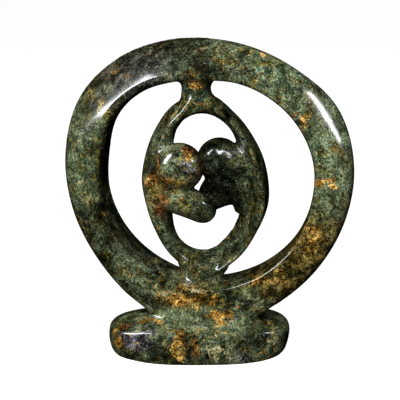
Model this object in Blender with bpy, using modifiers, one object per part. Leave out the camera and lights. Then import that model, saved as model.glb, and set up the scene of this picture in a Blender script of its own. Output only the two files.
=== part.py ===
"""Couple statue: two figures that lean together inside a ring, on a low pillow-shaped base.

The real thing is carved by hand from one block of serpentine, so the part is one solid.
Its frame has +Z up, the ring lies in the XZ plane and faces -Y, and the origin is the
middle of the flat underside. Every length is in metres unless its name says otherwise.
"""

import math

import bmesh
import bpy
import numpy as np

# Base
BASE_WIDTH = 0.1735
BASE_DEPTH = 0.102
BASE_HEIGHT = 0.040
BASE_CROWN_OFFSET = 0.006
BASE_TURN = math.radians(10)
BASE_SQUARENESS = 2.8

# Ring
RING_RADIUS = 0.136
RING_WIDTH = 0.035
RING_DEPTH = 0.045
FOOT_DEPTH = 0.062
RING_SINK = 0.025
RING_OFFSET = 0.008
RING_OUTER_SQUARENESS = 2.6
RING_INNER_SQUARENESS = 4.0

# Figures: their shapes are drawn for a hole this many millimetres high, and grow with it
DRAWN_HOLE_MM = 197

# Stone
STONE_COLOUR = (0.035, 0.055, 0.030, 1.0)
STONE_ROUGHNESS = 0.2

# Mesh: the grain that the shapes melt together in, as a share of the height, and how
# often the result is softened and to how many faces it is thinned
LOFT_SECTIONS = 144
SECTION_POINTS = 40
BALL_SEGMENTS = 40
GRAIN_SHARE = 1 / 140
SOFTENING_ROUNDS = 12
MOST_TRIANGLES = 9000

# The ring in 16 directions, 22.5 degrees apart, from +X over the top: its outline as
# shares of its radius, and its thickness as shares of its width.
RING_OUTLINE = (
    1.005, 0.963, 0.875, 0.826, 0.829, 0.866, 0.918, 0.970,
    1.004, 1.015, 1.057, 1.155, 1.265, 1.135, 1.070, 1.030,
)
RING_THICKNESS = (
    1.05, 1.10, 0.98, 0.96, 1.03, 1.09, 1.07, 1.10,
    1.10, 0.95, 0.95, 1.22, 1.53, 1.12, 0.96, 1.00,
)
TOP, BOTTOM = 4, 12

# The base's profile, from below the ground to the crown: shares of its half width and
# of its height.
BASE_PROFILE = (
    (0.80, -0.25), (0.86, -0.12), (0.91, -0.02), (0.965, 0.08), (0.995, 0.27), (1.00, 0.43),
    (0.985, 0.60), (0.94, 0.71), (0.84, 0.78), (0.66, 0.85), (0.40, 0.94), (0.02, 1.00),
)

# The figures are drawn in millimetres: x from the ring's axis, y back from its middle
# plane, z up from the bottom of its hole.
# Their backs and legs close one loop, given in the same 16 directions about this point:
# distance of the outline, thickness, depth, squareness outside and inside.
LOOP_MIDDLE = (-2, 101)
LOOP = (
    (59.2, 27, 42, 4.0, 2.0),
    (58.0, 25, 42, 4.5, 2.0),
    (60.7, 18, 40, 4.5, 2.2),
    (69.5, 13, 35, 4.0, 2.5),
    (82.0, 19, 30, 2.5, 2.5),
    (79.0, 20, 32, 2.2, 2.8),
    (68.5, 24, 38, 2.2, 2.8),
    (62.2, 25, 42, 2.2, 2.5),
    (60.6, 25, 43, 2.4, 2.2),
    (61.8, 26, 43, 2.6, 2.4),
    (68.3, 21, 40, 2.6, 2.8),
    (82.5, 14, 34, 2.6, 2.8),
    (93.0, 21, 29, 2.6, 2.5),
    (83.5, 23, 34, 3.5, 2.5),
    (70.6, 25, 40, 4.5, 2.4),
    (64.4, 27, 42, 4.0, 2.2),
)
# Stations of a limb: x, y and z of its middle, half width, half depth. LIMB_END says how
# late its width starts to close at either end: 2 is a ball, more is blunter.
LIMB_END = 6
NECK = (
    (-6, 0, 166, 26, 9),
    (-9.5, 0, 176, 18, 14),
    (-10.7, 0, 186, 13, 15),
    (-10.7, 0, 194, 14, 16),
    (-10.7, 0, 206, 28, 21),
)
STEM = (
    (-3.5, 0, 26, 28, 12),
    (-4.0, 0, 16, 25, 13),
    (-4.5, 0, 7, 20, 14),
    (-5.0, 0, 0, 20, 16),
    (-5.0, 0, -12, 34, 24),
)
LEFT_ARM = (
    (-50, -2, 94, 14, 15),
    (-37, -8, 88, 19, 17),
    (-23, -13, 83, 17, 17),
    (-9, -15, 76.5, 16, 16),
    (6.5, -14, 65.5, 13, 12),
)
RIGHT_ARM = (
    (50, 2, 94, 13, 15),
    (34, 8, 90, 14, 16),
    (16, 13, 86, 11, 15),
    (0, 14, 79, 10, 14),
    (-15, 13, 72, 8, 11),
)
RIGHT_CHEST = (
    (50, 2, 97, 32, 16),
    (36, 3, 98, 28, 14),
    (22, 5, 98, 22, 13),
    (9, 7, 92, 16, 12),
    (-9, 8, 80, 9, 9),
)
LEFT_CHEST = (
    (-50, -2, 96, 30, 15),
    (-38, -1, 98, 26, 13),
    (-27, 0, 96, 21, 12),
)
# Heads: x, y and z of the middle, and the radius.
HEADS = ((-24, -13, 115, 22.8), (9.5, 12, 118.5, 21.8))


def ring_middle():
    """Height of the ring's middle: its foot stands RING_SINK deep in the base's crown."""
    return BASE_HEIGHT - RING_SINK + RING_RADIUS * RING_OUTLINE[BOTTOM]


def ring_hole():
    """Heights of the lowest and the highest point of the ring's hole."""
    radii = [RING_RADIUS * RING_OUTLINE[k] - RING_WIDTH * RING_THICKNESS[k] for k in (BOTTOM, TOP)]
    return ring_middle() - radii[0], ring_middle() + radii[1]


def drawn_scale():
    """Metres for each drawn millimetre of the figures."""
    low, high = ring_hole()
    return (high - low) / DRAWN_HOLE_MM


def through(stations, count, closed=False):
    """A smooth curve through the stations, read at evenly spaced steps (Catmull-Rom)."""
    rows = np.asarray(stations, float)
    if closed:
        padded = np.vstack([rows[-1:], rows, rows[:2]])
        steps = np.linspace(0, len(rows), count, endpoint=False)
    else:
        padded = np.vstack([2 * rows[0] - rows[1], rows, 2 * rows[-1] - rows[-2]])
        steps = np.linspace(0, len(rows) - 1, count)
    first = np.minimum(steps.astype(int), len(padded) - 4)
    part = (steps - first)[:, None]
    a, b, c, d = (padded[first + k] for k in range(4))
    bend = 2 * a - 5 * b + 4 * c - d
    twist = 3 * b - a - 3 * c + d
    return b + 0.5 * ((c - a) * part + bend * part**2 + twist * part**3)


def rounded_square(turn, squareness):
    """Points of a square of half size 1 with round corners: 2 is a circle, more is squarer."""
    x, y = np.cos(turn), np.sin(turn)
    power = 2 / squareness
    return np.sign(x) * np.abs(x) ** power, np.sign(y) * np.abs(y) ** power


def skin(name, sections, closed=False):
    """A closed skin over a row of like sections, joined end to end or capped."""
    rows, columns = sections.shape[:2]
    surface = bmesh.new()
    points = [[surface.verts.new(point) for point in section] for section in sections]
    for row in range(rows if closed else rows - 1):
        here, there = points[row], points[(row + 1) % rows]
        for column in range(columns):
            beside = (column + 1) % columns
            surface.faces.new((here[column], here[beside], there[beside], there[column]))
    if not closed:
        surface.faces.new(reversed(points[0]))
        surface.faces.new(points[-1])
    bmesh.ops.recalc_face_normals(surface, faces=surface.faces)
    return as_object(name, surface)


def as_object(name, surface):
    mesh = bpy.data.meshes.new(name)
    surface.to_mesh(mesh)
    surface.free()
    return bpy.data.objects.new(name, mesh)


def band(name, middle, outline, width, depth, outer_squareness, inner_squareness):
    """A closed band about a middle in the XZ plane: each size changes with direction."""
    directions = np.linspace(0, 2 * math.pi, LOFT_SECTIONS, endpoint=False)[:, None]
    turn = np.linspace(0, 2 * math.pi, SECTION_POINTS, endpoint=False)[None, :]
    squareness = np.where(np.cos(turn) > 0, outer_squareness, inner_squareness)
    across, back = rounded_square(turn, squareness)
    distance = outline - width / 2 + width / 2 * across
    x = middle[0] + distance * np.cos(directions)
    z = middle[1] + distance * np.sin(directions)
    return skin(name, np.stack([x, depth / 2 * back, z], axis=-1), closed=True)


def ring():
    """The ring, deepest at its foot."""
    shares = through(np.transpose([RING_OUTLINE, RING_THICKNESS]), LOFT_SECTIONS, closed=True)
    upness = np.sin(np.linspace(0, 2 * math.pi, LOFT_SECTIONS, endpoint=False))[:, None]
    depth = RING_DEPTH + (FOOT_DEPTH - RING_DEPTH) * ((1 - upness) / 2) ** 2
    return band(
        "ring",
        (RING_OFFSET, ring_middle()),
        RING_RADIUS * shares[:, :1],
        RING_WIDTH * shares[:, 1:],
        depth,
        RING_OUTER_SQUARENESS,
        RING_INNER_SQUARENESS,
    )


def figures_loop():
    """The two backs and their legs, which close a loop inside the ring."""
    scale = drawn_scale()
    sizes = through(LOOP, LOFT_SECTIONS, closed=True)
    outline, width, depth, outer_squareness, inner_squareness = np.split(sizes, 5, axis=1)
    middle = (RING_OFFSET + scale * LOOP_MIDDLE[0], ring_hole()[0] + scale * LOOP_MIDDLE[1])
    return band(
        "figures_loop",
        middle,
        scale * outline,
        scale * width,
        scale * depth,
        outer_squareness,
        inner_squareness,
    )


def limb(name, stations):
    """An oval section carried along a middle line and square to it, closed like an egg."""
    curve = drawn_scale() * through(stations, LOFT_SECTIONS // 2)
    along = np.gradient(curve[:, [0, 2]], axis=0)
    along /= np.linalg.norm(along, axis=1, keepdims=True)
    turn = np.linspace(0, 2 * math.pi, SECTION_POINTS, endpoint=False)
    closing = np.sqrt(1 - 0.98 * np.linspace(-1, 1, len(curve)) ** LIMB_END)
    across = (curve[:, 3] * closing)[:, None] * np.cos(turn)
    x = RING_OFFSET + curve[:, :1] - along[:, 1:] * across
    y = curve[:, 1:2] + (curve[:, 4] * closing)[:, None] * np.sin(turn)
    z = ring_hole()[0] + curve[:, 2:3] + along[:, :1] * across
    return skin(name, np.stack([x, y, z], axis=-1))


def head(name, x, y, z, radius):
    """A head, a plain ball without a face."""
    scale = drawn_scale()
    ball = bmesh.new()
    bmesh.ops.create_uvsphere(
        ball, u_segments=BALL_SEGMENTS, v_segments=BALL_SEGMENTS // 2, radius=scale * radius
    )
    place = (RING_OFFSET + scale * x, scale * y, ring_hole()[0] + scale * z)
    bmesh.ops.translate(ball, verts=ball.verts, vec=place)
    return as_object(name, ball)


def base():
    """The base: an oval with square shoulders, bulging at its side and domed on top."""
    turn = np.linspace(0, 2 * math.pi, LOFT_SECTIONS, endpoint=False)
    along, back = rounded_square(turn, BASE_SQUARENESS)
    profile = through(BASE_PROFILE, LOFT_SECTIONS // 2)
    share, height = profile[:, :1], np.repeat(profile[:, 1:], LOFT_SECTIONS, axis=1)
    # The crown sits a little to one side, so that one shoulder slopes more gently.
    along = BASE_WIDTH / 2 * along * share + BASE_CROWN_OFFSET * np.clip(height, 0, 1) ** 3
    back = BASE_DEPTH / 2 * back * share
    x = along * math.cos(BASE_TURN) - back * math.sin(BASE_TURN)
    y = along * math.sin(BASE_TURN) + back * math.cos(BASE_TURN)
    return skin("base", np.stack([x, y, BASE_HEIGHT * height], axis=-1))


def stone():
    """Polished serpentine, dark green."""
    material = bpy.data.materials.new("polished_serpentine")
    material.use_nodes = True
    shader = material.node_tree.nodes["Principled BSDF"]
    shader.inputs["Base Color"].default_value = STONE_COLOUR
    shader.inputs["Roughness"].default_value = STONE_ROUGHNESS
    shader.inputs["Metallic"].default_value = 0.0
    material.diffuse_color = STONE_COLOUR
    return material


def one_mesh(name, shapes):
    """One object that holds the skins of all the shapes, which still pass through each other."""
    joined = bmesh.new()
    for shape in shapes:
        joined.from_mesh(shape.data)
        bpy.data.objects.remove(shape)
    return as_object(name, joined)


def below_ground():
    """The cutter that takes off whatever reaches below the flat underside."""
    size = 2 * BASE_WIDTH
    block = bmesh.new()
    bmesh.ops.create_cube(block, size=size)
    bmesh.ops.translate(block, verts=block.verts, vec=(0, 0, -size / 2))
    cutter = as_object("below_ground", block)
    cutter.hide_render = True
    cutter.display_type = "WIRE"
    return cutter


def carve(statue, cutter):
    """Melts the skins into one stone with soft creases, thins its faces and cuts it flat."""
    melt = statue.modifiers.new("melt", "REMESH")
    melt.mode = "VOXEL"
    melt.voxel_size = (ring_middle() + RING_RADIUS) * GRAIN_SHARE
    soften = statue.modifiers.new("soften", "SMOOTH")
    soften.factor = 0.5
    soften.iterations = SOFTENING_ROUNDS
    molten = statue.evaluated_get(bpy.context.evaluated_depsgraph_get()).data
    triangles = sum(len(face.vertices) - 2 for face in molten.polygons)
    thin = statue.modifiers.new("thin", "DECIMATE")
    thin.ratio = min(1.0, MOST_TRIANGLES / triangles)
    flat = statue.modifiers.new("flat_underside", "BOOLEAN")
    flat.operation = "DIFFERENCE"
    flat.solver = "EXACT"
    flat.object = cutter


def put_in_collection(name, thing):
    collection = bpy.data.collections.new(name)
    bpy.context.scene.collection.children.link(collection)
    collection.objects.link(thing)


def main():
    for thing in list(bpy.data.objects):
        bpy.data.objects.remove(thing)
    shapes = [base(), ring(), figures_loop()]
    limbs = {
        "neck": NECK,
        "stem": STEM,
        "left_arm": LEFT_ARM,
        "right_arm": RIGHT_ARM,
        "left_chest": LEFT_CHEST,
        "right_chest": RIGHT_CHEST,
    }
    shapes += [limb(name, stations) for name, stations in limbs.items()]
    shapes += [head(f"head_{number}", *sizes) for number, sizes in enumerate(HEADS, 1)]
    statue = one_mesh("couple_statue", shapes)
    statue.data.materials.append(stone())
    statue.data.shade_smooth()
    cutter = below_ground()
    put_in_collection("couple_statue_parts", statue)
    put_in_collection("cutters", cutter)
    carve(statue, cutter)


main()
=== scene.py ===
"""Couple statue in polished serpentine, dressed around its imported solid.

The statue is one stone: two figures that lean together inside a ring, on a low
pillow-shaped base. Each form is a surface worked out on a grid, all of them melt into one
skin, and the skin is polished and dressed as mottled stone. Lengths are in metres, +Z is
up and the statue faces -Y.
"""

import logging
import math
from dataclasses import dataclass
from enum import Enum

import bmesh
import bpy
import numpy as np
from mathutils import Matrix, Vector


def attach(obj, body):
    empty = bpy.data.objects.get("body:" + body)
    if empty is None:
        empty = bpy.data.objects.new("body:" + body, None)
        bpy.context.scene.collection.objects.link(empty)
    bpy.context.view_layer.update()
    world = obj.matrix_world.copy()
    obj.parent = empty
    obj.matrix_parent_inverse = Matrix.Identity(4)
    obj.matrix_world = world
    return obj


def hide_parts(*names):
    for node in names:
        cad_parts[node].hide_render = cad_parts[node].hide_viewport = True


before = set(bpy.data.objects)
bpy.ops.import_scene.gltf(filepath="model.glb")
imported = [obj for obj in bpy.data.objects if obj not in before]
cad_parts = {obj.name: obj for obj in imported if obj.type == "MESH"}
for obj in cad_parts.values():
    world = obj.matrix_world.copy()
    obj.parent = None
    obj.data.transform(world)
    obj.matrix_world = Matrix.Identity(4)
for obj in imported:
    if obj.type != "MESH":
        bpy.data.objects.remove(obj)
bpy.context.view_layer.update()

Point = tuple[float, float, float]
Colour = tuple[float, float, float, float]
log = logging.getLogger("couple_statue")

NODE = "couple_statue"
SLOT = "polished_serpentine"
# Rows for straight up and straight down in a table of 16 directions from +X over the top
TOP, BOTTOM = 4, 12
# Height angle of a ball's last ring, past which a small flat cap closes it
LAST_RING = 0.49 * math.pi


def through(stations: np.ndarray, count: int, closed: bool = False) -> np.ndarray:
    """A smooth curve through stations, read at evenly spaced steps.

    Catmull-Rom: between stations b and c it is the cubic that leaves b along (c - a) / 2
    and reaches c along (d - b) / 2.

    Args:
        stations: One row for each station.
        count: How many rows to read.
        closed: Whether the last station is followed by the first.

    Returns:
        The rows read from the curve.
    """
    rows = np.asarray(stations, float)
    if closed:
        padded = np.vstack([rows[-1:], rows, rows[:2]])
        steps = np.linspace(0, len(rows), count, endpoint=False)
    else:
        padded = np.vstack([2 * rows[0] - rows[1], rows, 2 * rows[-1] - rows[-2]])
        steps = np.linspace(0, len(rows) - 1, count)
    first = np.minimum(steps.astype(int), len(padded) - 4)
    part = (steps - first)[:, None]
    a, b, c, d = (padded[first + k] for k in range(4))
    bend = 2 * a - 5 * b + 4 * c - d
    twist = 3 * b - a - 3 * c + d
    return b + 0.5 * ((c - a) * part + bend * part**2 + twist * part**3)


def rounded_square(turn: np.ndarray, squareness: np.ndarray | float) -> tuple[np.ndarray, np.ndarray]:
    """Points of a square of half size 1 with round corners.

    x is the cosine's size to the power 2 / squareness with the cosine's sign, and y is the
    same of the sine: 2 gives a circle, more a squarer form.

    Args:
        turn: Angles round the middle.
        squareness: The power of the outline.

    Returns:
        x and y of the points.
    """
    x, y = np.cos(turn), np.sin(turn)
    power = 2 / squareness
    return np.sign(x) * np.abs(x) ** power, np.sign(y) * np.abs(y) ** power


@dataclass
class Skin:
    """A closed surface over a grid of points.

    Attributes:
        grid: Points by row, column and axis; each row closes on itself.
        closed: Whether the last row joins the first. If not, both end rows get a cap.
    """

    grid: np.ndarray
    closed: bool = False

    def faces(self, first: int) -> list[list[int]]:
        """The faces as lists of point numbers.

        Args:
            first: The number of the grid's first point.

        Returns:
            One quad for each cell of the grid, and the two caps of an open one.
        """
        rows, columns = self.grid.shape[:2]
        numbers = first + np.arange(rows * columns).reshape(rows, columns)
        here = numbers if self.closed else numbers[:-1]
        there = np.roll(numbers, -1, axis=0) if self.closed else numbers[1:]
        quads = np.stack(
            [here, np.roll(here, -1, axis=1), np.roll(there, -1, axis=1), there], axis=-1
        )
        caps = [] if self.closed else [numbers[0, ::-1].tolist(), numbers[-1].tolist()]
        return quads.reshape(-1, 4).tolist() + caps


@dataclass
class Band:
    """A closed band about a middle in the XZ plane, whose sizes change with direction.

    Attributes:
        middle: x and z of the middle.
        outline: Distance of the outer edge from the middle, one row for each direction.
        width: Thickness in the plane.
        depth: Thickness along Y.
        outer: Squareness of the section outside its ridge.
        inner: Squareness of the section inside its ridge.
        ridge: Where the section is deepest, from -1 at its inner edge to 1 at its outer edge.
        lean: How far the outer edge (above 0) or the inner edge (below 0) lies behind the
            middle plane, as a share of half the depth.
        around: Points round a section.
    """

    middle: tuple[float, float]
    outline: np.ndarray
    width: np.ndarray
    depth: np.ndarray
    outer: np.ndarray
    inner: np.ndarray
    ridge: np.ndarray
    lean: np.ndarray
    around: int = 96

    def skin(self) -> Skin:
        """Carries the section round the middle.

        The section is a rounded square whose middle is moved to the ridge, so that each side
        stretches from there to its edge. The side that leans is set back further by the lean
        times the way from the ridge.

        Returns:
            The band's skin, one row for each direction.
        """
        directions = np.linspace(0, 2 * math.pi, len(self.outline), endpoint=False)[:, None]
        turn = np.linspace(0, 2 * math.pi, self.around, endpoint=False)[None, :]
        across, back = rounded_square(turn, np.where(np.cos(turn) > 0, self.outer, self.inner))
        back = back + np.maximum(self.lean * across, 0)
        across = self.ridge + across * np.where(across > 0, 1 - self.ridge, 1 + self.ridge)
        distance = self.outline - self.width / 2 + self.width / 2 * across
        x = self.middle[0] + distance * np.cos(directions)
        z = self.middle[1] + distance * np.sin(directions)
        return Skin(np.stack([x, self.depth / 2 * back, z], axis=-1), closed=True)


@dataclass
class Base:
    """The low pillow-shaped base: an oval with square shoulders, domed on top.

    Attributes:
        width, depth, height: Its sizes.
        crown_offset: How far its crown sits to one side.
        turn: How far it is turned about +Z against the ring.
        squareness: Squareness of its plan.
        drop: How much lower it is at the back, as a share of its height.
        plan: What the plan's reach is multiplied with in 16 directions from +X over the back.
        front_profile: Shares of the half width and of the height, from below the ground to
            the crown, where the rim is crisp, at front and back.
        end_profile: The same at the two ends, where the shoulder is rounder.
        rings, around: Rows and columns of its grid.
    """

    width: float = 0.1735
    depth: float = 0.1015
    height: float = 0.040
    crown_offset: float = 0.006
    turn: float = math.radians(10)
    squareness: float = 2.8
    drop: float = 0.26
    plan: tuple[float, ...] = (
        1, 1, 1, 0.98, 0.96, 0.96, 0.97, 1, 1.004, 0.985, 0.95, 0.975, 1, 0.99, 0.97, 0.98,
    )
    front_profile: tuple[tuple[float, float], ...] = (
        (0.90, -0.25), (0.93, -0.12), (0.955, -0.02), (0.98, 0.08), (0.997, 0.27), (1.00, 0.48),
        (0.997, 0.65), (0.984, 0.735), (0.945, 0.775), (0.74, 0.87), (0.50, 0.96), (0.02, 1.00),
    )
    end_profile: tuple[tuple[float, float], ...] = (
        (0.80, -0.25), (0.87, -0.12), (0.92, -0.02), (0.965, 0.08), (0.992, 0.27), (1.00, 0.43),
        (0.994, 0.56), (0.955, 0.65), (0.87, 0.73), (0.73, 0.83), (0.46, 0.94), (0.02, 1.00),
    )
    rings: int = 120
    around: int = 320

    def skin(self) -> Skin:
        """The plan, scaled at each height by the profiles and turned.

        The share of the end profile is the cosine of the direction to the fourth power. Behind
        the middle the height shrinks with the square of the way back.

        Returns:
            The base's skin, one row for each height.
        """
        turn = np.linspace(0, 2 * math.pi, self.around, endpoint=False)
        plan = through(np.array(self.plan)[:, None], self.around, True)[:, 0]
        along, back = plan * rounded_square(turn, self.squareness)
        front = through(np.array(self.front_profile), self.rings)[:, :, None]
        end = through(np.array(self.end_profile), self.rings)[:, :, None]
        endness = np.cos(turn) ** 4
        share, height = np.moveaxis(front + (end - front) * endness, 1, 0)
        slide = self.crown_offset * np.clip(height, 0, 1) ** 3
        along = self.width / 2 * along * share + slide
        back = self.depth / 2 * back * share
        height = height * (1 - self.drop * np.clip(2 * back / self.depth, 0, 1) ** 2)
        x = along * math.cos(self.turn) - back * math.sin(self.turn)
        y = along * math.sin(self.turn) + back * math.cos(self.turn)
        return Skin(np.stack([x, y, self.height * height], axis=-1))


@dataclass
class Ring:
    """The ring round the figures, thickest and deepest at its foot.

    Attributes:
        base_height: Height of the base's crown, in which the foot stands.
        radius, width, depth, foot_depth: Its sizes.
        sink: How deep its foot stands in the crown.
        offset: x of its middle.
        shares: For 16 directions from +X over the top, the outline as a share of the radius,
            the thickness as a share of the width, the squareness outside and inside the
            ridge, the ridge's place and the outer edge's lean.
        sections: How many sections are carried round.
    """

    base_height: float
    radius: float = 0.136
    width: float = 0.035
    depth: float = 0.045
    foot_depth: float = 0.054
    sink: float = 0.025
    offset: float = 0.008
    shares: tuple[tuple[float, ...], ...] = (
        (1.002, 1.05, 2.3, 3.5, -0.60, 0.00),
        (0.955, 1.09, 1.5, 3.5, -0.60, 0.38),
        (0.872, 0.98, 1.8, 3.5, -0.60, 0.10),
        (0.828, 0.96, 1.7, 3.5, -0.65, 0.15),
        (0.8205, 1.04, 1.5, 3.5, -0.68, 0.42),
        (0.856, 1.08, 1.5, 3.0, -0.58, 0.80),
        (0.930, 1.13, 1.4, 2.6, -0.62, 0.78),
        (0.996, 1.18, 1.5, 3.0, -0.66, 0.50),
        (1.0025, 1.12, 2.0, 4.0, -0.74, 0.02),
        (1.026, 0.98, 2.4, 4.0, -0.80, 0.00),
        (1.066, 0.95, 3.2, 4.0, -0.85, 0.00),
        (1.150, 1.15, 4.5, 4.0, -0.85, 0.00),
        (1.265, 1.50, 5.0, 4.0, -0.85, 0.00),
        (1.131, 1.05, 4.5, 4.0, -0.85, 0.00),
        (1.074, 0.97, 3.2, 3.5, -0.80, 0.00),
        (1.034, 1.01, 2.5, 3.5, -0.75, 0.00),
    )
    sections: int = 480

    @property
    def middle(self) -> float:
        """Height of its middle."""
        return self.base_height - self.sink + self.radius * self.shares[BOTTOM][0]

    @property
    def hole(self) -> tuple[float, float]:
        """Heights of the lowest and the highest point of its hole."""
        low, high = (
            self.radius * self.shares[k][0] - self.width * self.shares[k][1] for k in (BOTTOM, TOP)
        )
        return self.middle - low, self.middle + high

    def skin(self) -> Skin:
        """The ring as a band, whose depth grows from top to foot with the square of the way down.

        Returns:
            The ring's skin.
        """
        outline, thickness, *shape = np.split(through(self.shares, self.sections, True), 6, 1)
        upness = np.sin(np.linspace(0, 2 * math.pi, self.sections, endpoint=False))[:, None]
        depth = self.depth + (self.foot_depth - self.depth) * ((1 - upness) / 2) ** 2
        middle = (self.offset, self.middle)
        return Band(middle, self.radius * outline, self.width * thickness, depth, *shape).skin()


@dataclass
class Limb:
    """A neck, stem, arm or chest: an oval section carried along a middle line.

    Attributes:
        stations: x, y and z of the middle, half width and half depth, in drawn millimetres.
        end: How late the section starts to close at either end: 2 is a ball, more is blunter.
        closing: How far it closes there, where 1 is a point.
        sections, around: Rows and columns of its grid.
    """

    stations: tuple[tuple[float, ...], ...]
    end: int = 6
    closing: float = 0.98
    sections: int = 120
    around: int = 72

    def skin(self, scale: float, x: float, z: float) -> Skin:
        """The oval stands square to the line, and towards both ends it closes.

        Its size there is the root of 1 less the way from the middle to the power of end.

        Args:
            scale: Metres for each drawn millimetre.
            x, z: The drawing's origin.

        Returns:
            The limb's skin.
        """
        curve = scale * through(np.array(self.stations), self.sections)
        along = np.gradient(curve[:, [0, 2]], axis=0)
        along /= np.linalg.norm(along, axis=1, keepdims=True)
        turn = np.linspace(0, 2 * math.pi, self.around, endpoint=False)
        size = np.sqrt(1 - self.closing * np.linspace(-1, 1, self.sections) ** self.end)
        across = (curve[:, 3] * size)[:, None] * np.cos(turn)
        return Skin(np.stack([
            x + curve[:, :1] - along[:, 1:] * across,
            curve[:, 1:2] + (curve[:, 4] * size)[:, None] * np.sin(turn),
            z + curve[:, 2:3] + along[:, :1] * across,
        ], axis=-1))


@dataclass
class Head:
    """A head, a plain ball without a face: x, y, z and radius in drawn millimetres."""

    x: float
    y: float
    z: float
    radius: float
    rings: int = 72
    around: int = 96

    def skin(self, scale: float, x: float, z: float) -> Skin:
        """The ball by its height angle and its angle round +Z.

        Args:
            scale: Metres for each drawn millimetre.
            x, z: The drawing's origin.

        Returns:
            The head's skin.
        """
        rise = np.linspace(-LAST_RING, LAST_RING, self.rings)[:, None]
        turn = np.linspace(0, 2 * math.pi, self.around, endpoint=False)[None, :]
        radius = scale * self.radius
        return Skin(np.stack([
            x + scale * self.x + radius * np.cos(rise) * np.cos(turn),
            scale * self.y + radius * np.cos(rise) * np.sin(turn),
            z + scale * self.z + radius * np.sin(rise) * np.ones_like(turn),
        ], axis=-1))


@dataclass
class Figures:
    """The two figures: backs and legs in one loop, necks, arms, chests and heads.

    They are drawn in millimetres, x from the ring's axis, y back from its middle plane and
    z up from the bottom of its hole, for a hole drawn_hole high, and they grow with it.

    Attributes:
        ring: The ring that holds them.
        drawn_hole: Height of the hole in the drawing.
        loop_middle: x and z of the loop's middle.
        loop: For 16 directions from +X over the top, distance of the outline, thickness,
            depth, squareness outside and inside the ridge, the ridge's place and the lean.
        limbs: Neck, stem, arms, chests, the left band's collar and the farther head's nape.
        heads: The two heads, the nearer one first.
        sections: How many sections are carried round the loop.
    """

    ring: Ring
    drawn_hole: float = 197
    loop_middle: tuple[float, float] = (-2, 101)
    loop: tuple[tuple[float, ...], ...] = (
        (59.4, 27, 42, 2.4, 1.4, 0.65, -0.30),
        (58.0, 25, 42, 2.4, 1.3, 0.70, -0.35),
        (60.2, 18, 40, 2.4, 1.3, 0.70, -0.30),
        (68.3, 12.5, 35, 2.4, 1.6, 0.60, -0.10),
        (82.2, 18.7, 30, 2.3, 2.3, 0.00, 0.00),
        (77.6, 18.5, 32, 1.3, 2.2, 0.00, 0.10),
        (68.0, 23.5, 38, 1.25, 2.0, -0.15, 0.15),
        (62.4, 25, 42, 1.4, 2.0, -0.20, 0.10),
        (60.6, 25, 43, 2.2, 2.2, 0.00, 0.00),
        (61.5, 26, 43, 2.4, 2.3, 0.00, 0.00),
        (68.6, 21.5, 40, 2.4, 2.6, -0.10, 0.00),
        (81.6, 14.5, 34, 2.4, 2.6, 0.00, 0.00),
        (93.0, 22, 29, 2.4, 1.2, 0.70, -0.60),
        (82.2, 24, 34, 2.6, 1.15, 0.70, -0.80),
        (70.3, 26, 40, 2.6, 1.15, 0.75, -0.80),
        (64.5, 27.5, 42, 2.4, 1.25, 0.70, -0.50),
    )
    limbs: tuple[Limb, ...] = (
        # Neck
        Limb((
            (-6, 0, 166, 25, 9), (-9.5, 0, 176, 17.5, 14), (-10.7, 0, 186, 14, 15),
            (-10.7, 0, 194, 16, 16), (-10.7, 0, 206, 32, 21),
        )),
        # Stem
        Limb((
            (-3.5, 0, 26, 28, 12), (-4.0, 0, 16, 25, 13), (-4.5, 0, 7, 20, 14),
            (-5.0, 0, 0, 20, 16), (-5.0, 0, -12, 34, 24),
        )),
        # Left arm
        Limb((
            (-50, -6, 91, 16, 17), (-37, -9, 88.5, 17, 16.5), (-24, -13, 84, 15, 17.5),
            (-8, -11, 76.5, 14, 16), (7, -7, 65, 13, 13),
        )),
        # Right arm
        Limb((
            (50, 2, 94, 13, 15), (34, 8, 90, 14, 16), (16, 13, 85.5, 12.5, 15),
            (0, 14, 78, 11.5, 14), (-15, 13, 72, 8, 11),
        )),
        # Right chest
        Limb((
            (50, 2, 96, 34, 16), (36, 3, 96.5, 30.5, 14), (22, 5, 97, 24, 13),
            (9, 7, 92, 16, 12), (-9, 8, 80, 9, 9),
        )),
        # Left chest
        Limb(((-50, -3, 94, 30, 18), (-38, -4, 95, 26, 18), (-27, -4, 93, 20, 16))),
        # Collar, from the neck down the left band
        Limb((
            (-5, 0, 200, 6, 10), (-6.5, 0, 189, 7, 15.5), (-12, 0, 178.5, 6.5, 17.5),
            (-20, 0, 168.5, 5.5, 18.5), (-30, 0, 157, 5.5, 19.5), (-37, 0, 144, 6, 20.5),
        )),
        # Nape of the farther head
        Limb((
            (6, 10, 121, 14, 17), (18, 6.5, 124, 13, 18), (30, 2, 120, 12, 19), (41, 4, 108, 13, 14),
        )),
    )
    heads: tuple[Head, ...] = (Head(-24.8, -13.5, 114.7, 23.3), Head(9.8, 12, 117.6, 21.6))
    sections: int = 360

    @property
    def scale(self) -> float:
        """Metres for each drawn millimetre."""
        low, high = self.ring.hole
        return (high - low) / self.drawn_hole

    def skins(self) -> list[Skin]:
        """The skins of the loop, the limbs and the heads, grown with the hole.

        Returns:
            The skins, the loop's first.
        """
        scale, x, z = self.scale, self.ring.offset, self.ring.hole[0]
        sizes = np.split(through(np.array(self.loop), self.sections, True), 7, 1)
        outline, width, depth = (scale * size for size in sizes[:3])
        middle = (x + scale * self.loop_middle[0], z + scale * self.loop_middle[1])
        loop = Band(middle, outline, width, depth, *sizes[3:])
        return [loop.skin()] + [form.skin(scale, x, z) for form in (*self.limbs, *self.heads)]


@dataclass
class Fillet:
    """A joint that the carver's rasp has rounded: its place, its reach and its rounds of easing."""

    place: Point
    reach: float
    rounds: int


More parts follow.
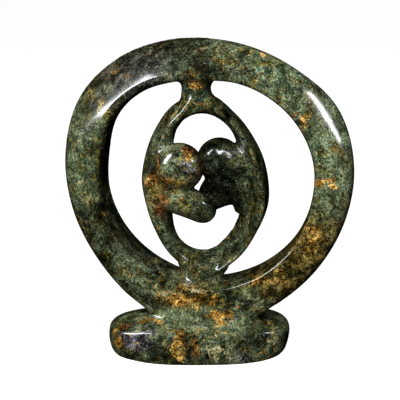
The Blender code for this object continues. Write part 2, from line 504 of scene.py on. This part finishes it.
@dataclass
class Statue:
    """The whole stone, from its forms to the polished skin.

    Attributes:
        base, ring, figures: Its forms.
        grain: Size of the cells in which the forms melt together.
        polish_rounds: How often the skin is smoothed.
        ease, regain: How far a round moves a point to the mean of its neighbours, and back.
        fillets: Joints that are eased further.
    """

    base: Base
    ring: Ring
    figures: Figures
    grain: float = 0.00165
    polish_rounds: int = 14
    ease: float = 0.5
    regain: float = 0.52
    fillets: tuple[Fillet, ...] = (
        Fillet((-0.050, -0.024, 0.038), 0.026, 40),
        Fillet((0.056, -0.018, 0.038), 0.026, 40),
        Fillet((-0.003, 0.0, 0.252), 0.024, 14),
        Fillet((0.003, 0.0, 0.072), 0.024, 14),
    )

    def forms(self) -> bpy.types.Object:
        """Puts all the skins in one object, still passing through each other.

        Returns:
            The object.
        """
        skins = [self.base.skin(), self.ring.skin(), *self.figures.skins()]
        first = np.cumsum([0] + [skin.grid[..., 0].size for skin in skins])
        points = np.concatenate([skin.grid.reshape(-1, 3) for skin in skins])
        faces = [face for skin, start in zip(skins, first) for face in skin.faces(int(start))]
        mesh = bpy.data.meshes.new("forms")
        mesh.from_pydata(points, [], faces)
        surface = bmesh.new()
        surface.from_mesh(mesh)
        bmesh.ops.recalc_face_normals(surface, faces=surface.faces)
        surface.to_mesh(mesh)
        surface.free()
        thing = bpy.data.objects.new("forms", mesh)
        bpy.context.scene.collection.objects.link(thing)
        return thing

    def melted(self) -> bpy.types.Mesh:
        """Melts the forms into one closed skin.

        Returns:
            The skin's mesh.
        """
        forms = self.forms()
        melt = forms.modifiers.new("melt", "REMESH")
        melt.mode = "VOXEL"
        melt.voxel_size = self.grain
        graph = bpy.context.evaluated_depsgraph_get()
        mesh = bpy.data.meshes.new_from_object(forms.evaluated_get(graph))
        bpy.data.objects.remove(forms)
        return mesh

    def polish(self, mesh: bpy.types.Mesh) -> None:
        """Smooths the skin and lays its underside flat on the ground.

        Each round moves a point towards the mean of its neighbours and then a little further
        back, which takes ripples out and keeps the size. The fillets then move towards that
        mean alone, less with the root of the way from their middle, and what reaches below
        the ground is laid on it.

        Args:
            mesh: The melted skin, which is changed.
        """
        count = len(mesh.vertices)
        points = np.empty(count * 3)
        mesh.vertices.foreach_get("co", points)
        points = points.reshape(-1, 3)
        ends = np.empty(len(mesh.edges) * 2, int)
        mesh.edges.foreach_get("vertices", ends)
        tail, tip = ends.reshape(-1, 2).T
        links = np.bincount(ends, minlength=count)[:, None]

        def pull(share: np.ndarray | float) -> None:
            """Moves every point this share of the way to the mean of its neighbours."""
            total = np.stack([
                np.bincount(tail, points[tip, k], count) + np.bincount(tip, points[tail, k], count)
                for k in range(3)
            ], axis=1)
            points[:] += share * (total / links - points)

        for _ in range(self.polish_rounds):
            pull(self.ease)
            pull(-self.regain)
        for fillet in self.fillets:
            near = np.linalg.norm(points - fillet.place, axis=1, keepdims=True) / fillet.reach
            share = self.ease * np.sqrt(np.clip(1 - near, 0, 1))
            for _ in range(fillet.rounds):
                pull(share)
        points[:, 2] = np.maximum(points[:, 2], 0)
        mesh.vertices.foreach_set("co", points.ravel())
        mesh.update()

    def build(self) -> bpy.types.Object:
        """Makes the finished stone, still without its material.

        Returns:
            The stone.
        """
        mesh = self.melted()
        self.polish(mesh)
        mesh.shade_smooth()
        mesh.name = "carved_couple"
        stone = bpy.data.objects.new("carved_couple", mesh)
        bpy.context.scene.collection.objects.link(stone)
        log.info("stone: %d faces", len(mesh.polygons))
        return stone


@dataclass(frozen=True)
class Cloud:
    """Cloudy noise.

    Attributes:
        grain: How wide its largest blotches are.
        detail: How many finer layers it has.
        roughness: How strong each layer is, as a share of the one before.
        distortion: How far it is bent.
    """

    grain: float
    detail: float
    roughness: float
    distortion: float = 0.0


@dataclass(frozen=True)
class Grain:
    """The look of one mineral.

    Attributes:
        dark, middle, light: Its colours, from its darkest to its lightest grain.
        size: How wide its growths are.
        threshold: How rare it is outside its patches: 0.5 is half the stone, 0.7 very little.
        cover: How much it hides what it grows over.
        edge: How soft its edges are.
    """

    dark: Colour
    middle: Colour
    light: Colour
    size: float
    threshold: float
    cover: float = 1.0
    edge: float = 0.05

    @property
    def growth(self) -> Cloud:
        """The noise whose peaks are the mineral's growths."""
        return Cloud(self.size, 8, 0.74, 0.5)

    @property
    def stops(self) -> list[tuple[float, Colour]]:
        """Where the brush noise turns from dark to middle to light."""
        return [(0.42, self.dark), (0.50, self.middle), (0.60, self.light)]


class Tone(Enum):
    """The stone's minerals, in the order in which they lie over each other; black, moss and slate
    also paint shade, light and a reflection in the patches marked so.
    """

    # Moss: grey-green stone, also used for painted light in the patches marked so.
    MOSS_AND_PAINTED_LIGHT = Grain(
        (0.040, 0.056, 0.028, 1), (0.100, 0.132, 0.066, 1), (0.230, 0.280, 0.160, 1),
        size=0.018, threshold=0.54, cover=0.9, edge=0.12,
    )
    TEAL = Grain(
        (0.013, 0.024, 0.014, 1), (0.045, 0.078, 0.044, 1), (0.150, 0.220, 0.145, 1),
        size=0.015, threshold=0.54, cover=0.8, edge=0.12,
    )
    OLIVE = Grain(
        (0.016, 0.013, 0.002, 1), (0.065, 0.056, 0.010, 1), (0.200, 0.165, 0.030, 1),
        size=0.014, threshold=0.505, cover=0.9, edge=0.12,
    )
    # Slate: grey stone, also used for painted reflections in the patches marked so.
    SLATE_AND_PAINTED_REFLECTION = Grain(
        (0.005, 0.005, 0.006, 1), (0.030, 0.029, 0.034, 1), (0.200, 0.190, 0.210, 1),
        size=0.012, threshold=0.60,
    )
    AMBER = Grain(
        (0.010, 0.006, 0.001, 1), (0.075, 0.046, 0.006, 1), (0.300, 0.200, 0.035, 1),
        size=0.014, threshold=0.585,
    )
    RUST = Grain(
        (0.018, 0.008, 0.002, 1), (0.110, 0.042, 0.009, 1), (0.360, 0.170, 0.055, 1),
        size=0.012, threshold=0.61,
    )
    OCHRE = Grain(
        (0.025, 0.012, 0.001, 1), (0.220, 0.105, 0.014, 1), (0.620, 0.400, 0.110, 1),
        size=0.010, threshold=0.595,
    )
    CREAM = Grain(
        (0.035, 0.035, 0.015, 1), (0.240, 0.220, 0.100, 1), (0.620, 0.580, 0.360, 1),
        size=0.008, threshold=0.63,
    )
    # Black: the stone's own near-black, also used for painted shade in the patches marked so.
    BLACK_AND_PAINTED_SHADE = Grain(
        (0.0006, 0.0008, 0.0005, 1), (0.002, 0.003, 0.0015, 1), (0.016, 0.022, 0.012, 1),
        size=0.018, threshold=0.585,
    )


@dataclass(frozen=True)
class Patch:
    """A place where one mineral gathers, or where a marked patch paints shade, light or a reflection.

    Attributes:
        tone: The mineral.
        place: Its middle.
        reach: How far it reaches along X, Y and Z.
        strength: How much of it there is.
        soft: Whether it only tints the stone, with no growths of its own.
    """

    tone: Tone
    place: Point
    reach: Point
    strength: float = 1.0
    soft: bool = False


class Wiring:
    """Short calls for the nodes of one material."""

    def __init__(self, material: bpy.types.Material) -> None:
        """Starts from the material's own shader.

        Args:
            material: The material, with nodes.
        """
        self.tree = material.node_tree
        self.shader = self.tree.nodes["Principled BSDF"]

    def add(self, kind: str, inputs: dict[int | str, object], **settings: object) -> bpy.types.Node:
        """Adds a node.

        Args:
            kind: The node's type, without its ShaderNode prefix.
            inputs: A value or another node's output for each input.
            settings: The node's own settings.

        Returns:
            The node.
        """
        node = self.tree.nodes.new("ShaderNode" + kind)
        for name, value in settings.items():
            setattr(node, name, value)
        for name, value in inputs.items():
            if isinstance(value, bpy.types.NodeSocket):
                self.tree.links.new(value, node.inputs[name])
            else:
                node.inputs[name].default_value = value
        return node

    def noise(self, at: bpy.types.NodeSocket, cloud: Cloud) -> bpy.types.Node:
        """Cloudy noise, read at a place."""
        return self.add("TexNoise", {
            "Vector": at, "Scale": 1 / cloud.grain, "Detail": cloud.detail,
            "Roughness": cloud.roughness, "Distortion": cloud.distortion,
        })

    def level(self, value: bpy.types.NodeSocket, low: float, high: float) -> bpy.types.NodeSocket:
        """0 below low, 1 above high and a smooth step between."""
        return self.add(
            "MapRange", {"Value": value, "From Min": low, "From Max": high},
            interpolation_type="SMOOTHSTEP",
        ).outputs["Result"]

    def math(self, operation: str, *values: object) -> bpy.types.NodeSocket:
        """One sum on single values."""
        return self.add("Math", dict(enumerate(values)), operation=operation).outputs[0]

    def vector(self, operation: str, *values: object) -> bpy.types.Node:
        """One sum on vectors."""
        return self.add("VectorMath", dict(enumerate(values)), operation=operation)

    def blend(
        self, share: bpy.types.NodeSocket, under: bpy.types.NodeSocket, over: bpy.types.NodeSocket
    ) -> bpy.types.NodeSocket:
        """The over colour laid on the under colour by a share."""
        return self.add("Mix", {0: share, 6: under, 7: over}, data_type="RGBA").outputs[2]

    def rescaled(
        self, value: bpy.types.NodeSocket, read: tuple[float, float], written: tuple[float, float]
    ) -> bpy.types.NodeSocket:
        """One range of values spread evenly over another."""
        return self.add("MapRange", {
            "Value": value, "From Min": read[0], "From Max": read[1],
            "To Min": written[0], "To Max": written[1],
        }).outputs["Result"]

    def ramp(
        self, value: bpy.types.NodeSocket, stops: list[tuple[float, Colour]]
    ) -> bpy.types.NodeSocket:
        """Turns a value into a colour.

        Args:
            value: The value.
            stops: Values in rising order, each with its colour.

        Returns:
            The colour, blended evenly between the stops.
        """
        node = self.add("ValToRGB", {0: value})
        elements = node.color_ramp.elements
        while len(elements) < len(stops):
            elements.new(0.5)
        for element, (place, colour) in zip(elements, stops):
            element.position = place
            element.color = colour
        return node.outputs["Color"]


@dataclass(frozen=True)
class Serpentine:
    """Polished serpentine: dark green, mottled, with brushy ochre growths and pale specks.

    Attributes:
        blotch, brush: The ground's coarse blotches, and the brush strokes in every mineral.
        dust, speck, cluster: Fine dust, pale specks and where the specks gather.
        pit: Faint pits in the polish.
        bend, sway: The noise that bends the pattern, and how far.
        wander, fray: The noise that moves the patches' edges, and how far.
        lift: How much likelier a mineral is in the middle of its patch.
        core, rim: Where a patch starts to fade and where it ends, as shares of its reach.
        shade: What the dust multiplies the colour with, at its darkest and lightest.
        body: Roughness of the stone under its polish.
        sheen: How much the stone mirrors under its polish.
        gloss, worn: Roughness of the polish, and how much more it has in a pit.
        patches: Where a mineral gathers, and where painted shade, painted light and painted
            reflections lie.
    """

    blotch: Cloud = Cloud(0.034, 8, 0.70)
    brush: Cloud = Cloud(0.012, 5, 0.85, 0.4)
    dust: Cloud = Cloud(0.0016, 2, 0.6)
    speck: Cloud = Cloud(0.0024, 3, 0.7)
    cluster: Cloud = Cloud(0.034, 3, 0.6)
    pit: Cloud = Cloud(0.0022, 3, 0.6)
    bend: Cloud = Cloud(0.018, 4, 0.6)
    sway: float = 0.016
    wander: Cloud = Cloud(0.011, 4, 0.7)
    fray: float = 0.010
    lift: float = 0.16
    core: float = 0.25
    rim: float = 1.15
    shade: tuple[float, float] = (0.15, 2.25)
    body: float = 0.26
    sheen: float = 0.10
    gloss: float = 0.12
    worn: float = 0.08
    patches: tuple[Patch, ...] = (
        # Washes, which only tint; several paint shade, light or a reflection, as marked
        # Partly the ring's grey-green tone, partly painted light that brightens the ring's right
        # side.
        Patch(Tone.MOSS_AND_PAINTED_LIGHT, (0.085, 0.0, 0.270), (0.065, 0.090, 0.050), 0.55, soft=True),
        Patch(Tone.MOSS_AND_PAINTED_LIGHT, (0.135, 0.0, 0.195), (0.055, 0.090, 0.085), 0.85, soft=True),
        # Partly moss tone, partly painted light that makes the base's up-facing top lighter.
        Patch(Tone.MOSS_AND_PAINTED_LIGHT, (0.0, -0.045, 0.040), (0.110, 0.045, 0.012), 0.90, soft=True),
        Patch(Tone.MOSS_AND_PAINTED_LIGHT, (-0.118, -0.010, 0.180), (0.030, 0.040, 0.060), 0.70, soft=True),
        Patch(Tone.MOSS_AND_PAINTED_LIGHT, (-0.012, -0.025, 0.152), (0.026, 0.020, 0.016), 0.50, soft=True),
        Patch(Tone.AMBER, (0.108, 0.0, 0.115), (0.050, 0.060, 0.042), 0.85, soft=True),
        Patch(Tone.AMBER, (0.075, 0.0, 0.078), (0.040, 0.060, 0.030), 0.70, soft=True),
        Patch(Tone.AMBER, (-0.005, 0.0, 0.060), (0.030, 0.060, 0.020), 0.50, soft=True),
        Patch(Tone.OLIVE, (-0.080, 0.0, 0.262), (0.050, 0.060, 0.045), 0.50, soft=True),
        # Partly grey stone, partly a painted reflection of the key light's haze on the ring's upper
        # left.
        Patch(Tone.SLATE_AND_PAINTED_REFLECTION, (-0.058, 0.0, 0.262), (0.050, 0.060, 0.040), 0.60, soft=True),
        Patch(Tone.BLACK_AND_PAINTED_SHADE, (-0.080, 0.0, 0.105), (0.045, 0.060, 0.055), 0.60, soft=True),
        Patch(Tone.BLACK_AND_PAINTED_SHADE, (-0.010, 0.0, 0.288), (0.060, 0.060, 0.036), 0.55, soft=True),
        Patch(Tone.BLACK_AND_PAINTED_SHADE, (0.080, 0.0, 0.085), (0.040, 0.060, 0.030), 0.40, soft=True),
        Patch(Tone.BLACK_AND_PAINTED_SHADE, (0.004, 0.0, 0.095), (0.055, 0.050, 0.034), 0.35, soft=True),
        Patch(Tone.BLACK_AND_PAINTED_SHADE, (0.054, 0.0, 0.165), (0.024, 0.060, 0.070), 0.35, soft=True),
        # Painted shade: these three darken the ring's inner face at its lower left, where shade falls
        # inside the hole.
        Patch(Tone.BLACK_AND_PAINTED_SHADE, (-0.090, 0.010, 0.180), (0.016, 0.028, 0.040), 0.85, soft=True),
        Patch(Tone.BLACK_AND_PAINTED_SHADE, (-0.080, 0.010, 0.130), (0.018, 0.028, 0.030), 0.85, soft=True),
        Patch(Tone.BLACK_AND_PAINTED_SHADE, (-0.062, 0.010, 0.100), (0.024, 0.028, 0.022), 0.80, soft=True),
        Patch(Tone.BLACK_AND_PAINTED_SHADE, (-0.065, 0.0, 0.272), (0.070, 0.060, 0.050), 0.50, soft=True),
        Patch(Tone.AMBER, (-0.036, -0.022, 0.160), (0.018, 0.022, 0.030), 0.5, soft=True),
        Patch(Tone.BLACK_AND_PAINTED_SHADE, (0.060, -0.046, 0.024), (0.032, 0.026, 0.016), 0.8, soft=True),
        Patch(Tone.BLACK_AND_PAINTED_SHADE, (-0.002, -0.051, 0.016), (0.012, 0.020, 0.014), 0.7, soft=True),
        Patch(Tone.BLACK_AND_PAINTED_SHADE, (-0.032, -0.050, 0.012), (0.018, 0.020, 0.014), 0.6, soft=True),
        # Partly the stone's own near-black, partly painted shade on the farther head and chest,
        # behind the nearer figure.
        Patch(Tone.BLACK_AND_PAINTED_SHADE, (0.018, 0.0, 0.188), (0.040, 0.035, 0.040), 0.9, soft=True),
        Patch(Tone.BLACK_AND_PAINTED_SHADE, (0.022, 0.0, 0.160), (0.042, 0.045, 0.054), 1.0, soft=True),
        # Growths on the ring
        Patch(Tone.TEAL, (0.070, 0.0, 0.268), (0.030, 0.060, 0.025), 0.5),
        Patch(Tone.TEAL, (0.125, 0.0, 0.205), (0.025, 0.060, 0.025), 0.6),
        Patch(Tone.AMBER, (0.010, 0.0, 0.285), (0.030, 0.060, 0.020), 0.5),
        Patch(Tone.OCHRE, (0.004, -0.022, 0.283), (0.014, 0.018, 0.016), 0.6),
        Patch(Tone.OCHRE, (0.066, -0.014, 0.288), (0.026, 0.016, 0.007), 0.9),
        Patch(Tone.RUST, (0.109, -0.018, 0.248), (0.012, 0.016, 0.012)),
        Patch(Tone.OCHRE, (0.100, -0.020, 0.230), (0.006, 0.016, 0.013), 0.9),
        Patch(Tone.OCHRE, (0.120, -0.021, 0.173), (0.018, 0.016, 0.008)),
        Patch(Tone.CREAM, (-0.106, -0.020, 0.224), (0.009, 0.014, 0.012), 0.9),
        Patch(Tone.CREAM, (-0.091, -0.020, 0.233), (0.008, 0.014, 0.008), 0.8),
        Patch(Tone.CREAM, (-0.081, -0.020, 0.256), (0.012, 0.014, 0.006), 0.7),
        Patch(Tone.OLIVE, (-0.073, -0.020, 0.273), (0.010, 0.014, 0.008), 0.8),
        Patch(Tone.OCHRE, (-0.049, -0.020, 0.281), (0.008, 0.014, 0.008), 0.8),
        Patch(Tone.OCHRE, (-0.048, -0.016, 0.291), (0.010, 0.014, 0.006), 0.6),
        Patch(Tone.OCHRE, (-0.010, -0.031, 0.058), (0.034, 0.020, 0.017), 0.9),
        Patch(Tone.CREAM, (0.006, -0.031, 0.067), (0.014, 0.016, 0.008), 0.8),
        Patch(Tone.OCHRE, (0.067, -0.024, 0.083), (0.024, 0.018, 0.016), 0.7),
        Patch(Tone.OCHRE, (0.107, -0.020, 0.122), (0.016, 0.018, 0.018), 0.7),
        # Growths on the figures
        Patch(Tone.RUST, (-0.005, -0.024, 0.199), (0.014, 0.014, 0.010)),
        Patch(Tone.RUST, (0.004, -0.023, 0.181), (0.006, 0.014, 0.015), 0.9),
        Patch(Tone.RUST, (-0.036, -0.027, 0.186), (0.007, 0.016, 0.018)),
        Patch(Tone.RUST, (-0.028, -0.031, 0.171), (0.013, 0.014, 0.008)),
        Patch(Tone.OCHRE, (-0.009, -0.033, 0.193), (0.012, 0.012, 0.004), 0.8),
        Patch(Tone.SLATE_AND_PAINTED_REFLECTION, (-0.007, -0.035, 0.184), (0.012, 0.014, 0.012), 0.9),
        Patch(Tone.RUST, (-0.029, -0.020, 0.147), (0.012, 0.018, 0.022)),
        Patch(Tone.RUST, (-0.043, -0.018, 0.172), (0.010, 0.018, 0.024), 0.75),
        Patch(Tone.AMBER, (-0.017, -0.030, 0.170), (0.025, 0.020, 0.012), 0.7),
        Patch(Tone.OCHRE, (-0.002, -0.014, 0.259), (0.010, 0.014, 0.006), 0.8),
        Patch(Tone.OCHRE, (0.024, -0.020, 0.095), (0.010, 0.018, 0.008), 1.2),
        Patch(Tone.OCHRE, (0.049, -0.018, 0.122), (0.007, 0.018, 0.008), 0.7),
        # Growths on the base, and one painted reflection
        Patch(Tone.OCHRE, (0.028, -0.038, 0.041), (0.026, 0.024, 0.010), 1.4),
        Patch(Tone.OCHRE, (-0.050, -0.030, 0.036), (0.030, 0.018, 0.006), 0.8),
        Patch(Tone.OCHRE, (-0.009, -0.051, 0.020), (0.012, 0.018, 0.024), 1.2),
        Patch(Tone.OCHRE, (0.005, -0.051, 0.018), (0.005, 0.018, 0.016), 1.2),
        Patch(Tone.OCHRE, (-0.071, -0.036, 0.020), (0.010, 0.018, 0.014), 0.9),
        # Painted reflection: the key light's grey haze on the base's front, below its left rim.
        Patch(Tone.SLATE_AND_PAINTED_REFLECTION, (-0.050, -0.046, 0.022), (0.024, 0.020, 0.014), 1.5),
        Patch(Tone.SLATE_AND_PAINTED_REFLECTION, (0.052, -0.046, 0.008), (0.014, 0.018, 0.008), 1.2),
        Patch(Tone.RUST, (-0.066, -0.038, 0.032), (0.010, 0.016, 0.007), 1.2),
        Patch(Tone.CREAM, (0.028, -0.051, 0.012), (0.022, 0.018, 0.014), 1.2),
        Patch(Tone.CREAM, (0.074, -0.030, 0.024), (0.010, 0.018, 0.014), 0.9),
    )

    def material(self) -> bpy.types.Material:
        """Makes the material, all of it on Object coordinates.

        Returns:
            The material, named for its slot.
        """
        material = bpy.data.materials.new(SLOT)
        material.use_nodes = True
        wiring = Wiring(material)
        place = wiring.add("TexCoord", {}).outputs["Object"]
        swayed = self.shifted(wiring, place, wiring.noise(place, self.bend), self.sway)
        frayed = self.shifted(wiring, place, wiring.noise(place, self.wander), self.fray)
        brush = wiring.noise(swayed, self.brush).outputs["Fac"]
        colour = self.ground(wiring, swayed, brush)
        for number, tone in enumerate(Tone):
            share = self.spread(wiring, tone, number, swayed, frayed)
            colour = wiring.blend(share, colour, wiring.ramp(brush, tone.value.stops))
        colour = self.specks(wiring, swayed, place, colour)
        self.polish(wiring, place, colour)
        return material

    def shifted(
        self, wiring: Wiring, place: bpy.types.NodeSocket, noise: bpy.types.Node, reach: float
    ) -> bpy.types.NodeSocket:
        """Moves a place by the noise's colour, less 0.5, times the reach.

        Args:
            wiring: The material's wiring.
            place: The coordinates.
            noise: The noise that moves them.
            reach: How far it moves them.

        Returns:
            The moved coordinates.
        """
        centred = wiring.vector("SUBTRACT", noise.outputs["Color"], (0.5, 0.5, 0.5)).outputs[0]
        scaled = wiring.add("VectorMath", {0: centred, "Scale": reach}, operation="SCALE")
        return wiring.vector("ADD", place, scaled.outputs[0]).outputs[0]

    def ground(
        self, wiring: Wiring, swayed: bpy.types.NodeSocket, brush: bpy.types.NodeSocket
    ) -> bpy.types.NodeSocket:
        """The stone's own green, from near black to grey-green, by the mean of blotch and brush.

        Args:
            wiring: The material's wiring.
            swayed: Coordinates of the blotches.
            brush: The brush noise.

        Returns:
            The colour.
        """
        blotches = wiring.noise(swayed, self.blotch).outputs["Fac"]
        coarse = wiring.math("MULTIPLY", blotches, 0.5)
        both = wiring.math("ADD", coarse, wiring.math("MULTIPLY", brush, 0.5))
        return wiring.ramp(both, [
            (0.41, (0.002, 0.003, 0.0015, 1)),
            (0.455, (0.009, 0.011, 0.005, 1)),
            (0.50, (0.028, 0.037, 0.018, 1)),
            (0.545, (0.075, 0.092, 0.045, 1)),
            (0.60, (0.200, 0.235, 0.135, 1)),
        ])

    def spread(
        self, wiring: Wiring, tone: Tone, number: int, swayed: bpy.types.NodeSocket,
        frayed: bpy.types.NodeSocket,
    ) -> bpy.types.NodeSocket:
        """How much of a mineral, or of its painted shade, light or reflection, lies at each place.

        Growths are noise above the mineral's threshold; near a patch's middle the noise is
        lifted. A soft patch adds a plain tint that fades with distance.

        Args:
            wiring: The material's wiring.
            tone: The mineral.
            number: Its number, which moves its noise away from the others'.
            swayed: Coordinates of the growths.
            frayed: Coordinates of the patches.

        Returns:
            The mineral's share of the colour.
        """
        grain = tone.value
        spot = wiring.vector("ADD", swayed, (0.37 * number, 0.71, 0.13 * number)).outputs[0]
        amount = wiring.noise(spot, grain.growth).outputs["Fac"]
        tint = None
        lift = None
        for patch in (patch for patch in self.patches if patch.tone is tone):
            near = self.nearness(wiring, patch, frayed)
            if patch.soft:
                tint = near if tint is None else wiring.math("MAXIMUM", tint, near)
            else:
                lift = near if lift is None else wiring.math("MAXIMUM", lift, near)
        if lift is not None:
            amount = wiring.math("ADD", amount, wiring.math("MULTIPLY", lift, self.lift))
        share = wiring.level(amount, grain.threshold, grain.threshold + grain.edge)
        if grain.cover < 1:
            share = wiring.math("MULTIPLY", share, grain.cover)
        return share if tint is None else wiring.math("MAXIMUM", share, tint)

    def nearness(
        self, wiring: Wiring, patch: Patch, frayed: bpy.types.NodeSocket
    ) -> bpy.types.NodeSocket:
        """The patch's strength inside its core, fading smoothly to 0 at its rim.

        Args:
            wiring: The material's wiring.
            patch: The patch.
            frayed: Coordinates of the patches.

        Returns:
            The nearness times the strength.
        """
        offset = wiring.vector("SUBTRACT", frayed, patch.place).outputs[0]
        shares = wiring.vector("DIVIDE", offset, patch.reach).outputs[0]
        distance = wiring.vector("LENGTH", shares).outputs["Value"]
        inside = wiring.math("SUBTRACT", self.rim, distance)
        near = wiring.level(inside, 0.0, self.rim - self.core)
        return wiring.math("MULTIPLY", near, patch.strength)

    def specks(
        self, wiring: Wiring, swayed: bpy.types.NodeSocket, place: bpy.types.NodeSocket,
        colour: bpy.types.NodeSocket,
    ) -> bpy.types.NodeSocket:
        """Dust that darkens and lightens every grain, and pale specks in clusters.

        Args:
            wiring: The material's wiring.
            swayed: Coordinates of the clusters.
            place: Coordinates of dust and specks.
            colour: The minerals' colour.

        Returns:
            The colour with its dust and specks.
        """
        dust = wiring.noise(place, self.dust).outputs["Fac"]
        shade = wiring.rescaled(dust, (0.35, 0.65), self.shade)
        colour = wiring.add(
            "Mix", {0: 1.0, 6: colour, 7: shade}, data_type="RGBA", blend_type="MULTIPLY"
        ).outputs[2]
        fine = wiring.noise(place, self.speck).outputs["Fac"]
        cluster = wiring.noise(swayed, self.cluster).outputs["Fac"]
        mask = wiring.math(
            "MULTIPLY", wiring.level(fine, 0.60, 0.72), wiring.level(cluster, 0.42, 0.62)
        )
        pale = [(0.40, (0.16, 0.20, 0.14, 1)), (0.60, (0.42, 0.46, 0.36, 1))]
        return wiring.blend(mask, colour, wiring.ramp(dust, pale))

    def polish(
        self, wiring: Wiring, place: bpy.types.NodeSocket, colour: bpy.types.NodeSocket
    ) -> None:
        """Sets the shader: a high polish with faint pits.

        Args:
            wiring: The material's wiring.
            place: Coordinates of the pits.
            colour: The stone's colour.
        """
        shader = wiring.shader
        wiring.tree.links.new(colour, shader.inputs["Base Color"])
        pits = wiring.noise(place, self.pit).outputs["Fac"]
        gloss = wiring.rescaled(pits, (0.35, 0.75), (self.gloss, self.gloss + self.worn))
        shader.inputs["Roughness"].default_value = self.body
        shader.inputs["Specular IOR Level"].default_value = self.sheen
        shader.inputs["IOR"].default_value = 1.5
        shader.inputs["Coat Weight"].default_value = 1.0
        wiring.tree.links.new(gloss, shader.inputs["Coat Roughness"])
        bump = wiring.add("Bump", {"Strength": 0.04, "Distance": 0.0004, "Height": pits})
        wiring.tree.links.new(bump.outputs["Normal"], shader.inputs["Normal"])


@dataclass(frozen=True)
class Softbox:
    """A soft area light.

    Attributes:
        name: Its name.
        towards: Direction from the statue to the light.
        distance: How far away it stands.
        width, height: Its sizes.
        radiance: How bright its face is.
        tint: Its colour.
        mirrored: Whether polished stone shows it as a highlight.
        lighting: Whether it lights the stone's own colours.
    """

    name: str
    towards: Point
    distance: float
    width: float
    height: float
    radiance: float
    tint: tuple[float, float, float] = (1.0, 1.0, 1.0)
    mirrored: bool = True
    lighting: bool = True

    def build(self, aim: Point) -> bpy.types.Object:
        """Makes the light; its power is pi * area * radiance.

        Args:
            aim: The point that it faces.

        Returns:
            The light.
        """
        light = bpy.data.lights.new(self.name, "AREA")
        light.shape = "RECTANGLE"
        light.size, light.size_y = self.width, self.height
        light.energy = math.pi * self.width * self.height * self.radiance
        light.color = self.tint
        thing = bpy.data.objects.new(self.name, light)
        bpy.context.scene.collection.objects.link(thing)
        back = Vector(self.towards).normalized()
        thing.location = Vector(aim) + back * self.distance
        thing.rotation_mode = "QUATERNION"
        thing.rotation_quaternion = back.to_track_quat("Z", "Y")
        thing.visible_diffuse = self.lighting
        thing.visible_glossy = self.mirrored
        return thing


@dataclass
class Studio:
    """A pale floor, soft light and the camera.

    Attributes:
        aim: The point at the middle of the picture.
        azimuth, elevation: The camera's direction, in degrees.
        distance: How far the camera stands from the aim.
        field: Width of the picture at the aim.
        boxes: The lights.
        floor_size: Half size of the floor.
        paper, glow: How pale the floor is, and how bright it reads by itself.
        room: How bright the room is.
    """

    aim: Point = (0.001, 0.0, 0.147)
    azimuth: float = 9.0
    elevation: float = 14.0
    distance: float = 1.2
    field: float = 0.3772
    boxes: tuple[Softbox, ...] = (
        Softbox(
            "left_box", (-0.725, -0.308, 0.616), 1.3, 0.34, 0.95, radiance=25.0,
            tint=(0.93, 0.97, 1.0), lighting=False,
        ),
        Softbox(
            "right_box", (0.860, -0.075, 0.504), 1.3, 0.18, 0.18, radiance=30.0,
            tint=(0.97, 0.98, 1.0), lighting=False,
        ),
        Softbox("front_fill", (-0.06, -0.80, 0.60), 1.6, 0.7, 0.9, radiance=20.5, mirrored=False),
        Softbox("back_fill", (0.1, 0.9, 0.5), 1.6, 1.2, 1.2, radiance=2.0, mirrored=False),
    )
    floor_size: float = 9.0
    paper: float = 0.25
    glow: float = 0.97
    room: float = 0.02

    def camera(self) -> None:
        """The camera looks at the aim; its lens is sensor width * distance / field."""
        turn, rise = math.radians(self.azimuth), math.radians(self.elevation)
        back = Vector((
            math.sin(turn) * math.cos(rise), -math.cos(turn) * math.cos(rise), math.sin(rise)
        ))
        data = bpy.data.cameras.new("camera")
        data.lens = data.sensor_width * self.distance / self.field
        thing = bpy.data.objects.new("camera", data)
        bpy.context.scene.collection.objects.link(thing)
        thing.location = Vector(self.aim) + back * self.distance
        thing.rotation_mode = "QUATERNION"
        thing.rotation_quaternion = back.to_track_quat("Z", "Y")
        bpy.context.scene.camera = thing

    def floor(self) -> None:
        """The pale floor, one square bright enough to read as plain paper."""
        size = self.floor_size
        mesh = bpy.data.meshes.new("floor")
        corners = [(-size, -size, 0), (size, -size, 0), (size, size, 0), (-size, size, 0)]
        mesh.from_pydata(corners, [], [(0, 1, 2, 3)])
        thing = bpy.data.objects.new("floor", mesh)
        bpy.context.scene.collection.objects.link(thing)
        material = bpy.data.materials.new("paper")
        material.use_nodes = True
        shader = material.node_tree.nodes["Principled BSDF"]
        shader.inputs["Base Color"].default_value = (self.paper, self.paper, self.paper, 1)
        shader.inputs["Roughness"].default_value = 0.9
        shader.inputs["Specular IOR Level"].default_value = 0.0
        shader.inputs["Emission Color"].default_value = (1, 1, 1, 1)
        shader.inputs["Emission Strength"].default_value = self.glow
        mesh.materials.append(material)
        thing.visible_diffuse = False
        thing.visible_glossy = False

    def build(self) -> None:
        """Camera, floor, lights and the dim room, which the stone's reflections do not show."""
        self.camera()
        self.floor()
        for box in self.boxes:
            box.build(self.aim)
        scene = bpy.context.scene
        scene.world = bpy.data.worlds.new("room")
        scene.world.use_nodes = True
        sky = scene.world.node_tree.nodes["Background"]
        sky.inputs["Color"].default_value = (self.room, self.room, self.room, 1)
        scene.world.cycles_visibility.glossy = False
        scene.view_settings.view_transform = "Standard"


def main() -> None:
    """Builds the statue and the studio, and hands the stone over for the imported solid."""
    logging.basicConfig(level=logging.INFO)
    base = Base()
    ring = Ring(base.height)
    stone = Statue(base, ring, Figures(ring)).build()
    stone.data.materials.append(Serpentine().material())
    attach(stone, "root")
    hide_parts(NODE)
    Studio().build()


if __name__ == "__main__":
    main()
